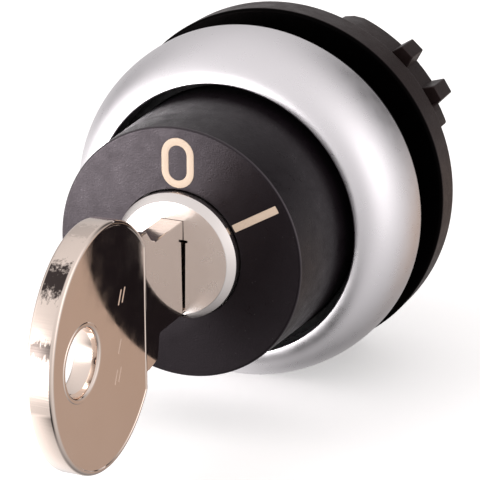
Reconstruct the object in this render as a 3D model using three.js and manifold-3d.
// Key-operated selector switch, 22.5 mm panel-hole format, two maintained positions.
// Units are millimetres, +Z is up ("0" mark on top) and the switch axis is Y:
// the key side faces -Y and the contact side faces +Y.
// Pieces are drawn with y = 0 on the panel's front surface; the whole group is then moved
// along Y so that the origin is the centre of the rear boss (see REAR).
import * as THREE from 'three';
import { mergeVertices } from 'three/addons/utils/BufferGeometryUtils.js';
import Module from 'manifold-3d';

const wasm = await Module();
wasm.setup();

// ---------------------------------------------------------------- shared dimensions
// _R is a radius; _FACE, _FRONT, _REAR and _END are y positions.
const REAR = 13.2; // rear boss face, behind the panel's front surface
const TURN = 60; // degrees between the two positions
const SEGMENTS = 32; // facets round a turned piece

const CAP_FACE = -15.74;
const PLUG_FACE = -16.9;
const PLUG_R = 5.0;
const PLUG_BORE_R = PLUG_R + 0.06;
const BARREL_R = 7.4;
const SLEEVE_R = BARREL_R + 0.05;

const THREAD_CREST_R = 10.9; // fits the 22.5 mm panel hole
const THREAD_ROOT_R = 10.3;
const THREAD_PITCH = 1.5;
const THREAD_START = 1.5;
const THREAD_GAP = 0.1;

const PLUNGER_R = 6.9; // switch axis to plunger axis
const CAGE_SNAP_ANGLES = [60, 240];

// ---------------------------------------------------------------- finishes
const PLASTIC = { color: 0x1f1c1f, roughness: 0.55, metalness: 0 };
const NUT_PLASTIC = { color: 0x241d1c, roughness: 0.6, metalness: 0 };
const CAM_PLASTIC = { color: 0x6d6f72, roughness: 0.5, metalness: 0 };
const PLUNGER_PLASTIC = { color: 0xd8d4c8, roughness: 0.5, metalness: 0 };
const CAGE_PLASTIC = { color: 0x2a2a2e, roughness: 0.55, metalness: 0 };
const CREAM = { color: 0xebdcc8, roughness: 0.6, metalness: 0 };
const RUBBER = { color: 0x0c0c0d, roughness: 0.8, metalness: 0 };
const SATIN = { color: 0xb9b6b8, roughness: 0.35, metalness: 0.9 };
const ZINC = { color: 0xa8a6a2, roughness: 0.45, metalness: 0.9 };
const NICKEL = { color: 0xc9bfb4, roughness: 0.2, metalness: 1 };
const BRASS = { color: 0xc2a25a, roughness: 0.35, metalness: 1 };
const SPRING = { color: 0x9a9a9c, roughness: 0.3, metalness: 1 };

// ---------------------------------------------------------------- solids and meshes
// Welds a geometry into a closed solid with its faces pointing outwards.
function toSolid(geometry) {
  geometry.deleteAttribute('normal');
  geometry.deleteAttribute('uv');
  const welded = mergeVertices(geometry.index ? geometry.toNonIndexed() : geometry, 1e-4);
  const positions = Float32Array.from(welded.attributes.position.array);
  const corners = welded.index.array;
  const point = (i) => new THREE.Vector3().fromArray(positions, 3 * i);
  const triangles = [];
  let volume = 0;
  for (let i = 0; i < corners.length; i += 3) {
    const [a, b, c] = corners.subarray(i, i + 3);
    if (a === b || b === c || a === c) continue;
    triangles.push(a, b, c);
    volume += point(a).dot(point(b).cross(point(c)));
  }
  if (volume < 0) {
    for (let i = 0; i < triangles.length; i += 3) {
      [triangles[i], triangles[i + 1]] = [triangles[i + 1], triangles[i]];
    }
  }
  return new wasm.Manifold(new wasm.Mesh({
    numProp: 3,
    vertProperties: positions,
    triVerts: Uint32Array.from(triangles),
  }));
}

function toGeometry(solid) {
  const mesh = solid.getMesh();
  const positions = new Float32Array(mesh.numVert * 3);
  for (let i = 0; i < mesh.numVert; i++) {
    for (let k = 0; k < 3; k++) {
      positions[3 * i + k] = mesh.vertProperties[i * mesh.numProp + k];
    }
  }
  const geometry = new THREE.BufferGeometry();
  geometry.setAttribute('position', new THREE.BufferAttribute(positions, 3));
  geometry.setIndex(new THREE.BufferAttribute(Uint32Array.from(mesh.triVerts), 1));
  geometry.computeVertexNormals();
  return geometry;
}

const join = (...solids) => solids.reduce((whole, solid) => whole.add(solid));
const cut = (solid, ...tools) => tools.reduce((rest, tool) => rest.subtract(tool), solid);

// ---------------------------------------------------------------- points and angles
const rad = (degrees) => (degrees * Math.PI) / 180;
const span = (half) => [-half, half];
const series = (count, at) => Array.from({ length: count }, (_, i) => at(i));

// [x, z] at a clock angle: 0 at +Z, positive towards +X (clockwise from the front)
const clock = (radius, angle) => [radius * Math.sin(rad(angle)), radius * Math.cos(rad(angle))];

// [x, z] points turned clockwise about the axis
function turnPoints(points, angle) {
  const [sin, cos] = clock(1, angle);
  return points.map(([x, z]) => [x * cos + z * sin, -x * sin + z * cos]);
}

function sectorPoints(innerR, outerR, from, to, steps) {
  const arc = (radius) => series(steps + 1, (i) => clock(radius, from + ((to - from) * i) / steps));
  return arc(outerR).concat(arc(innerR).reverse());
}

// ---------------------------------------------------------------- shapes
// turned about Y from [radius, y] points; closes on itself unless both ends lie on the axis
function turned(points, segments = SEGMENTS) {
  const profile = points.map(([radius, y]) => new THREE.Vector2(radius, y));
  if (points[0][0] !== 0 || points.at(-1)[0] !== 0) profile.push(profile[0].clone());
  return toSolid(new THREE.LatheGeometry(profile, segments));
}

const rod = (radius, front, rear, segments) =>
  turned([[0, front], [radius, front], [radius, rear], [0, rear]], segments);

function slab(points, depth, holes = []) {
  const vectors = (list) => list.map(([x, y]) => new THREE.Vector2(x, y));
  const outline = vectors(points);
  if (THREE.ShapeUtils.isClockWise(outline)) outline.reverse();
  const shape = new THREE.Shape(outline);
  for (const hole of holes) shape.holes.push(new THREE.Path(vectors(hole)));
  return new THREE.ExtrudeGeometry(shape, { depth, steps: 1, bevelEnabled: false });
}

// geometry of an [x, z] outline extruded from y = front to y = rear
function slabAlongY(points, front, rear, holes) {
  const geometry = slab(points, rear - front, holes);
  geometry.rotateX(Math.PI / 2);
  return geometry.translate(0, rear, 0);
}

const alongY = (...args) => toSolid(slabAlongY(...args));

// [y, z] outline extruded along X, centred on x = 0
function alongX(points, thickness, holes) {
  const geometry = slab(points, thickness, holes);
  geometry.applyMatrix4(new THREE.Matrix4().makeBasis(
    new THREE.Vector3(0, 1, 0),
    new THREE.Vector3(0, 0, 1),
    new THREE.Vector3(1, 0, 0),
  ));
  return toSolid(geometry.translate(-thickness / 2, 0, 0));
}

// box between [from, to] pairs, its local +Z then pointed along a clock angle
function box([x0, x1], [y0, y1], [z0, z1], angle = 0) {
  const geometry = new THREE.BoxGeometry(x1 - x0, y1 - y0, z1 - z0);
  geometry.translate((x0 + x1) / 2, (y0 + y1) / 2, (z0 + z1) / 2);
  return toSolid(geometry.rotateY(rad(angle)));
}

const sector = (innerR, outerR, from, to, front, rear, steps) =>
  alongY(sectorPoints(innerR, outerR, from, to, steps), front, rear);

// sector with one flat face; its face at y = top is moved to heightAt(clock angle)
function rampSector(innerR, outerR, from, to, flat, top, heightAt, steps) {
  const outline = sectorPoints(innerR, outerR, from, to, steps);
  const geometry = slabAlongY(outline, Math.min(flat, top), Math.max(flat, top));
  const position = geometry.attributes.position;
  for (let i = 0; i < position.count; i++) {
    if (Math.abs(position.getY(i) - top) > 1e-4) continue;
    let angle = (Math.atan2(position.getX(i), position.getZ(i)) * 180) / Math.PI;
    while (angle < from - 1) angle += 360;
    position.setY(i, heightAt(angle));
  }
  return toSolid(geometry);
}

// twelve-sided post parallel to Y at z = 0
function post(radius, x, front, rear) {
  const geometry = new THREE.CylinderGeometry(radius, radius, rear - front, 12);
  return toSolid(geometry.translate(x, (rear + front) / 2, 0));
}

// helical spring of square wire; place(target, across, side, along) sets its axis
function coil(place, { start, end, radius, wire, turns, stepsPerTurn }) {
  class Helix extends THREE.Curve {
    getPoint(t, target = new THREE.Vector3()) {
      const angle = t * turns * Math.PI * 2;
      const along = start + wire + (end - start - 2 * wire) * t;
      return place(target, radius * Math.cos(angle), radius * Math.sin(angle), along);
    }
  }
  const section = series(4, (i) => {
    const angle = (i * Math.PI) / 2;
    return new THREE.Vector2(wire * Math.cos(angle), wire * Math.sin(angle));
  });
  return toSolid(new THREE.ExtrudeGeometry(new THREE.Shape(section), {
    steps: turns * stepsPerTurn,
    bevelEnabled: false,
    extrudePath: new Helix(),
  }));
}

function oRing(majorR, minorR, y) {
  const geometry = new THREE.TorusGeometry(majorR, minorR, 5, 24);
  geometry.rotateX(Math.PI / 2);
  return toSolid(geometry.translate(0, y, 0));
}

// ---------------------------------------------------------------- front ring
const BEZEL_SEGMENTS = 36;
const BEZEL_R = 14.85;
const BEZEL_LIP_R = 11.4;
const BEZEL_REAR = -1.0;
const BULGE = { centreR: 11.56, rear: -1.28, length: 6.15, power: 0.95 };

function bezelRing() {
  // quarter superellipse; max() keeps a rounding error below zero out of the power
  const bulge = series(11, (i) => {
    const angle = rad(9 * i);
    return [
      BULGE.centreR + (BEZEL_R - BULGE.centreR) * Math.max(0, Math.cos(angle)) ** BULGE.power,
      BULGE.rear - BULGE.length * Math.sin(angle) ** BULGE.power,
    ];
  });
  return turned([
    [BEZEL_R, BEZEL_REAR], ...bulge,
    [BEZEL_LIP_R + 0.06, -7.4], [BEZEL_LIP_R, -7.3], [BEZEL_LIP_R, -5.1],
    [12.7, -5.1], [13.25, -4.4], [13.72, -3.4], [13.72, BEZEL_REAR],
  ], BEZEL_SEGMENTS);
}

// ---------------------------------------------------------------- fixed dial cap and its marks
const CAP_FACE_R = 10.22;
const CAP_BASE_R = 10.65;
const CAP_WALL_REAR = -14.5; // back of the cap's front wall
const INLAY_FLOOR = CAP_FACE + 0.3;
const INLAY_GAP = 0.02;

function oval(halfWidth, bottom, top) {
  const straight = (top - bottom) / 2 - halfWidth;
  const end = (start, offset) => series(13, (i) => {
    const angle = start + (i / 12) * Math.PI;
    const z = (bottom + top) / 2 + offset + halfWidth * Math.sin(angle);
    return [halfWidth * Math.cos(angle), z];
  });
  return [...end(0, straight), ...end(Math.PI, -straight)];
}

// the marks; grow widens their strokes, for the pockets
function zeroMark(grow, front, rear) {
  const inside = oval(0.745 - grow, 6.05 + grow, 8.75 - grow);
  return alongY(oval(1.325 + grow, 5.45 - grow, 9.35 + grow), front, rear, [inside]);
}

function oneMark(grow, front, rear) {
  const half = 0.29 + grow;
  const [bottom, top] = [5.25 - grow, 9.5 + grow];
  const bar = [[-half, bottom], [half, bottom], [half, top], [-half, top]];
  return alongY(turnPoints(bar, TURN), front, rear);
}

function dialCap() {
  const shell = turned([
    [5.32, CAP_FACE], [CAP_FACE_R - 0.2, CAP_FACE], [CAP_FACE_R, CAP_FACE + 0.2],
    [CAP_BASE_R, -7.5], [10.68, -4.45], [12.4, -4.45], [12.4, -3.26], [9.1, -3.26],
    [9.1, CAP_WALL_REAR], [5.32, CAP_WALL_REAR],
  ]);
  const ribs = series(6, (i) => box(span(0.5), [-14.6, -5.5], [7.3, 9.3], 30 + 60 * i));
  return cut(
    join(shell, ...ribs),
    rod(7.5, CAP_WALL_REAR, -3),
    zeroMark(INLAY_GAP, CAP_FACE - 1, INLAY_FLOOR + INLAY_GAP),
    oneMark(INLAY_GAP, CAP_FACE - 1, INLAY_FLOOR + INLAY_GAP),
  );
}

const capSeal = () => turned([[10.76, -5.05], [12.3, -5.05], [12.3, -4.5], [10.76, -4.5]]);

// ---------------------------------------------------------------- mounting body and gasket
const FLANGE_R = 13.6;
const BODY_BORE_R = 8.95;
const BODY_REAR = 12.9;

// [radius, y] zigzag, half a pitch between points
const thread = (firstR, secondR, start, count) =>
  series(count, (i) => [i % 2 ? secondR : firstR, start + (i * THREAD_PITCH) / 2]);

// flange, threaded barrel and locating nib
function mountingBody() {
  const shell = turned([
    [SLEEVE_R, -3.2], [FLANGE_R, -3.2], [FLANGE_R, -1.02], [10.85, -1.02], [10.85, 1.0],
    ...thread(THREAD_ROOT_R, THREAD_CREST_R, THREAD_START, 14),
    [THREAD_ROOT_R, 12.0], [THREAD_ROOT_R, 12.6], [10.0, BODY_REAR],
    [BODY_BORE_R, BODY_REAR], [BODY_BORE_R, -0.95], [SLEEVE_R, -0.95],
  ]);
  const nib = box(span(1.5), [-1.5, 1.2], [10.0, 12.1]);
  const latchNotches = [[8, 12], [-12, -8]].map((z) => box(span(2.6), [10.9, 14], z));
  const snapPockets = CAGE_SNAP_ANGLES.map((a) => box(span(2.0), [9.6, 10.6], [8.5, 9.75], a));
  return cut(join(shell, nib), ...latchNotches, ...snapPockets);
}

function panelGasket() {
  const washer = turned([[11.05, -1], [14.5, -1], [14.5, 0], [11.05, 0]]);
  return cut(washer, box(span(1.6), [-2, 1], [10.5, 12.2])); // clears the nib
}

// ---------------------------------------------------------------- ring nut
const NUT_FRONT = 3.35;
const NUT_FLANGE_REAR = 6.25;
const NUT_REAR = 10.4;
const NUT_BORE_R = 11.3;
const NUT_FLANGE_R = 15.2;
const NUT_CORE_R = 12.6;
const NUT_HUB_R = 14.45;
const HUB_INNER_R = 12.3; // wall segments start inside the core
const HUB_FRONT = NUT_FLANGE_REAR - 0.2;
const LUG_R = 15.55;
const LUG = [[-1.25, 13.6], [1.1, 13.6], [0.62, LUG_R], [-0.68, LUG_R]]; // [x, z]

// flanged nut; three raised wall segments each carry a pair of spanner lugs
function ringNut() {
  const nutThread = thread(
    THREAD_CREST_R + THREAD_GAP, THREAD_ROOT_R + THREAD_GAP,
    THREAD_START + 1.5 * THREAD_PITCH, 9,
  );
  let nut = turned([
    [NUT_BORE_R, NUT_FRONT], [NUT_FLANGE_R - 0.25, NUT_FRONT], [NUT_FLANGE_R, NUT_FRONT + 0.25],
    [NUT_FLANGE_R, NUT_FLANGE_REAR - 0.1], [NUT_FLANGE_R - 0.1, NUT_FLANGE_REAR],
    [NUT_CORE_R, NUT_FLANGE_REAR], [NUT_CORE_R, NUT_REAR - 0.2],
    [NUT_CORE_R - 0.2, NUT_REAR], [NUT_BORE_R, NUT_REAR],
    ...nutThread.reverse(),
  ]);
  for (const start of [0, 120, 240]) {
    const chamfer = [ // [radius, angle from start]
      [HUB_INNER_R, 13], [13.3, 13], [14.2, 18], [NUT_HUB_R, 22], [HUB_INNER_R, 22],
    ].map(([radius, angle]) => clock(radius, start + angle));
    nut = join(
      nut,
      sector(HUB_INNER_R, NUT_HUB_R, start + 22, start + 60, HUB_FRONT, NUT_REAR, 6),
      alongY(chamfer, HUB_FRONT, NUT_REAR),
      // low step at the trailing end
      sector(HUB_INNER_R, NUT_HUB_R + 0.55, start + 59.9, start + 67.5, HUB_FRONT, 8.1, 2),
      ...[41.7, 57.5].map((angle) => alongY(turnPoints(LUG, start + angle), 7.6, 10.3)),
    );
  }
  return nut;
}

// ---------------------------------------------------------------- lock barrel
function lockBarrel() {
  const shell = turned([
    [PLUG_BORE_R, -14.2], [BARREL_R - 0.3, -14.2], [BARREL_R, -13.9], [BARREL_R, -4.2],
    [8.6, -4.2], [8.6, -3.22], [BARREL_R, -3.22], [BARREL_R, -0.93], [6.9, -0.93],
    [6.9, -0.1], [BARREL_R, -0.1], [BARREL_R, 1.6], [PLUG_BORE_R, 1.6],
  ]);
  // grooves for the wafer ends at both key positions
  const grooves = [0, TURN, 180, 180 + TURN]
    .map((angle) => box(span(1.78), [-13.8, 0.1], [4.0, 5.85], angle));
  return cut(shell, ...grooves);
}

// ---------------------------------------------------------------- lock plug
const PLUG_HEAD_R = 5.15;
const WAFER_SLOT = 1.1;
const KEYWAY = [ // [x, z]
  [-1.05, -4.52], [1.22, -4.52], [1.34, 1.55], [1.62, 1.62],
  [1.62, 1.86], [1.02, 1.88], [1.0, 3.42], [-1.05, 3.42],
];
const KEYWAY_FUNNEL = [[-0.45, -4.3], [-1.1, -5.6], [1.3, -5.6], [0.75, -4.3]]; // [x, z]

// Wafers alternate: odd-numbered ones as drawn, even-numbered ones with their side
// features mirrored in z. flipZ gives a z span for either kind.
const WAFERS = series(6, (i) => ({
  number: i + 1,
  y: -13 + 2.4 * i,
  flipZ: (low, high) => (i % 2 ? [-high, -low] : [low, high]),
}));

function lockPlug() {
  let plug = turned([
    [0, PLUG_FACE], [PLUG_HEAD_R - 0.65, PLUG_FACE], [PLUG_HEAD_R, PLUG_FACE + 0.4],
    [PLUG_HEAD_R, -15.0], [4.55, -15.0], [4.55, -14.3], [PLUG_R, -14.3], [PLUG_R, 1.75],
    [3.8, 1.85], [3.8, 2.5], [4.4, 2.5], [4.4, 2.9], [0, 2.9],
  ]);
  plug = join(plug, box(span(2.5), [2.7, 6.3], span(2.5))); // square drive
  plug = cut(
    plug,
    alongY(KEYWAY, -18, 1.2),
    alongY(KEYWAY_FUNNEL, -18, -15.4),
    rod(1.05, 3.3, 7, 12), // screw hole
  );
  for (const { y, flipZ } of WAFERS) {
    const slot = [y - WAFER_SLOT / 2, y + WAFER_SLOT / 2];
    plug = cut(
      plug,
      box(span(3.28), slot, span(3.9)),
      box(span(1.68), slot, span(6)),
      box([3.2, 4.2], slot, flipZ(-2.4, 1.6)), // spring chamber
    );
  }
  return plug;
}

// ---------------------------------------------------------------- wafers and their springs
const WAFER_T = 1.0;
const WAFER_WINDOW = [[-1.1, -4.2], [-1.1, 3.5], [1.4, 3.5], [1.4, -4.2]]; // [x, z]

function wafer({ y, flipZ }) {
  const [lugBottom, lugTop] = flipZ(-0.1, 0.75);
  const outline = [ // [x, z]
    [-1.6, 4.68], [-1.6, 3.3], [-3.2, 3.3], [-3.2, -3.3], [-1.6, -3.3], [-1.6, -4.68],
    [1.6, -4.68], [1.6, -3.3], [3.2, -3.3],
    [3.2, lugBottom], [4.05, lugBottom], [4.05, lugTop], [3.2, lugTop],
    [3.2, 3.3], [1.6, 3.3], [1.6, 4.68],
  ];
  return alongY(outline, y - WAFER_T / 2, y + WAFER_T / 2, [WAFER_WINDOW]);
}

// stands along Z in the plug's chamber
function waferSpring({ y, flipZ }) {
  const [start, end] = flipZ(-2.36, -0.14);
  const place = (target, across, side, along) => target.set(3.72 + across, y + side, along);
  return coil(place, { start, end, radius: 0.3, wire: 0.08, turns: 4, stepsPerTurn: 5 });
}

// ---------------------------------------------------------------- key
const BOW_T = 2.1;
const BLADE_T = 1.9;
const BOW = { y: -30.2, z: -2.28, halfLength: 8.5, halfHeight: 9.5, rear: -23.5 };
const BOW_HOLE = { y: -34.0, z: -1.95, radius: 2.53 };
const BLADE = [ // [y, z]
  // shoulder and top edge, towards the tip
  [-24.2, 4.95], [-23.05, 3.6], [-22.4, 3.2], [-14.9, 3.2], [-14.3, 2.75],
  [-12.6, 2.3], [-11.4, 2.78], [-10.4, 2.2], [-9.2, 2.75], [-8.0, 2.4], [-6.8, 2.78],
  [-5.6, 2.1], [-4.4, 2.6], [-3.2, 2.3], [-2.0, 2.7], [-0.6, 1.9],
  // tip
  [0.8, 0.5], [0.8, -1.2],
  // bottom edge and shoulder, back towards the bow
  [-0.6, -2.6], [-2.0, -3.45], [-3.2, -3.0], [-4.4, -3.45], [-5.6, -2.9], [-6.8, -3.4],
  [-8.0, -3.0], [-9.2, -3.48], [-10.4, -2.9], [-11.4, -3.45], [-12.6, -3.1],
  [-14.3, -3.45], [-14.9, -4.44], [-21.2, -4.44], [-21.6, -6.45], [-23.0, -6.75],
  [-24.2, -6.75],
];

function keySolid() {
  // ellipse cut off straight at its rear
  const start = Math.acos((BOW.rear - BOW.y) / BOW.halfLength);
  const bow = series(37, (i) => {
    const angle = start + ((2 * Math.PI - 2 * start) * i) / 36;
    return [BOW.y + BOW.halfLength * Math.cos(angle), BOW.z + BOW.halfHeight * Math.sin(angle)];
  });
  const hole = series(24, (i) => {
    const angle = (i / 24) * 2 * Math.PI;
    return [
      BOW_HOLE.y + BOW_HOLE.radius * Math.cos(angle),
      BOW_HOLE.z + BOW_HOLE.radius * Math.sin(angle),
    ];
  });
  return cut(
    join(alongX(bow, BOW_T, [hole]), alongX(BLADE, BLADE_T)),
    box([0.35, 2], [-14.9, 2], [-0.9, -0.1]), // side grooves of the blade
    box([-2, -0.35], [-14.9, 2], [0.6, 1.4]),
  );
}

// ---------------------------------------------------------------- drive cam, screw and detent
const CAM_FRONT = 3.2;
const CAM_REAR = 4.7;
const CAM_R = 8.2;
const RAMP_MID = 5.35; // ramp height under a plunger at rest
const PLUNGER_TRAVEL = 2.0;

// y of a helicoid that is at middleY at the middle clock angle
const helicoid = (middle, middleY) => (angle) =>
  middleY + (PLUNGER_TRAVEL / TURN) * (middle - angle);

function driveCam() {
  const ramps = [90, 270].map((middle) => rampSector(
    5.7, 8.1, middle - 73, middle + 13, CAM_REAR - 0.3, 7, helicoid(middle, RAMP_MID), 10,
  ));
  const notches = [180, 180 - TURN].map((angle) =>
    alongY([clock(9.0, angle - 9), clock(9.0, angle + 9), clock(7.5, angle)], 3, 4.85));
  return cut(
    join(rod(CAM_R, CAM_FRONT, CAM_REAR), rod(4.2, CAM_REAR - 0.2, 6.4, 24), ...ramps),
    box(span(2.56), [3, 7], span(2.56)), // square for the plug's drive
    ...notches,
  );
}

// cross-slotted screw
function camScrew() {
  return cut(
    join(rod(3.4, 6.42, 7.7, 24), rod(1.0, 3.7, 6.6, 12)),
    box(span(0.35), [7.1, 8], span(2.2)),
    box(span(2.2), [7.1, 8], span(0.35)),
  );
}

// arc of strip whose vee rests in the cam's notch at 180 degrees
function detentSpring() {
  const edge = (arcR, tipR) => series(15, (i) => clock(i === 7 ? tipR : arcR, 124 + 8 * i));
  return alongY(edge(8.75, 8.02).concat(edge(8.5, 7.74).reverse()), 3.4, 4.5);
}

// ---------------------------------------------------------------- plungers and guide cage
const PLUNGER_FRONT = 5.5;
const PLUNGER_SHOULDER = 9.3;
const STEM_R = 0.9;
const STEM_END = 12.8;
const CAGE_FLOOR = 12.05;
const PLUNGERS = [
  { side: 'right', angle: 90, x: PLUNGER_R },
  { side: 'left', angle: 270, x: -PLUNGER_R },
];

function plungerSolid({ angle, x }) {
  const front = helicoid(angle, PLUNGER_FRONT);
  return join(
    rampSector(6.0, 7.8, angle - 10, angle + 10, PLUNGER_SHOULDER, 5, front, 4),
    post(STEM_R, x, 9.0, STEM_END),
  );
}

function plungerSpring({ x }) {
  const place = (target, across, side, along) => target.set(x + across, along, side);
  return coil(place, {
    start: 9.36, end: 12.0, radius: 1.2, wire: 0.1, turns: 2, stepsPerTurn: 12,
  });
}

function guideCage() {
  const wallRear = CAGE_FLOOR + 0.2;
  let cage = join(rod(8.88, CAGE_FLOOR, 12.85), rod(4.0, 12.5, REAR, 24));
  for (const { angle, x } of PLUNGERS) {
    cage = join(
      cage,
      sector(5.8, 8.2, angle + 12.5, angle + 21, 8.1, wallRear, 1),
      sector(5.8, 8.2, angle - 21, angle - 12.5, 8.1, wallRear, 1),
    );
    cage = cut(cage, post(1.0, x, 10.4, 14.4)); // stem hole
  }
  // snap arms and their hooks
  for (const angle of CAGE_SNAP_ANGLES) {
    cage = join(
      cage,
      box(span(1.8), [9.4, wallRear], [7.7, 8.45], angle),
      box(span(1.8), [9.75, 10.45], [8.2, 9.5], angle),
    );
  }
  return cage;
}

// ---------------------------------------------------------------- assembly
const root = new THREE.Group();
const body = new THREE.Group();
body.position.y = -REAR;
root.add(body);

function put(name, solid, finish) {
  const mesh = new THREE.Mesh(toGeometry(solid), new THREE.MeshStandardMaterial(finish));
  mesh.name = name;
  body.add(mesh);
}

put('bezel_ring', bezelRing(), SATIN);
put('dial_cap', dialCap(), PLASTIC);
put('legend_zero', zeroMark(0, CAP_FACE, INLAY_FLOOR), CREAM);
put('legend_one', oneMark(0, CAP_FACE, INLAY_FLOOR), CREAM);
put('cap_seal', capSeal(), RUBBER);
put('mounting_body', mountingBody(), PLASTIC);
put('panel_gasket', panelGasket(), RUBBER);
put('ring_nut', ringNut(), NUT_PLASTIC);
put('lock_barrel', lockBarrel(), ZINC);
put('barrel_o_ring', oRing(7.98, 0.46, -4.75), RUBBER);
put('barrel_clip', sector(6.95, 8.6, 205, 515, -0.88, -0.18, 31), SPRING);
put('lock_plug', lockPlug(), NICKEL);
put('plug_o_ring', oRing(4.9, 0.29, -14.65), RUBBER);
put('plug_clip', sector(3.86, 6.2, 215, 505, 1.9, 2.45, 25), SPRING);
for (const item of WAFERS) put(`wafer_${item.number}`, wafer(item), BRASS);
for (const item of WAFERS) put(`wafer_spring_${item.number}`, waferSpring(item), SPRING);
put('key', keySolid(), NICKEL);
put('drive_cam', driveCam(), CAM_PLASTIC);
put('cam_screw', camScrew(), SPRING);
put('detent_spring', detentSpring(), SPRING);
for (const item of PLUNGERS) {
  put(`plunger_${item.side}`, plungerSolid(item), PLUNGER_PLASTIC);
  put(`plunger_spring_${item.side}`, plungerSpring(item), SPRING);
}
put('guide_cage', guideCage(), CAGE_PLASTIC);

export default root;
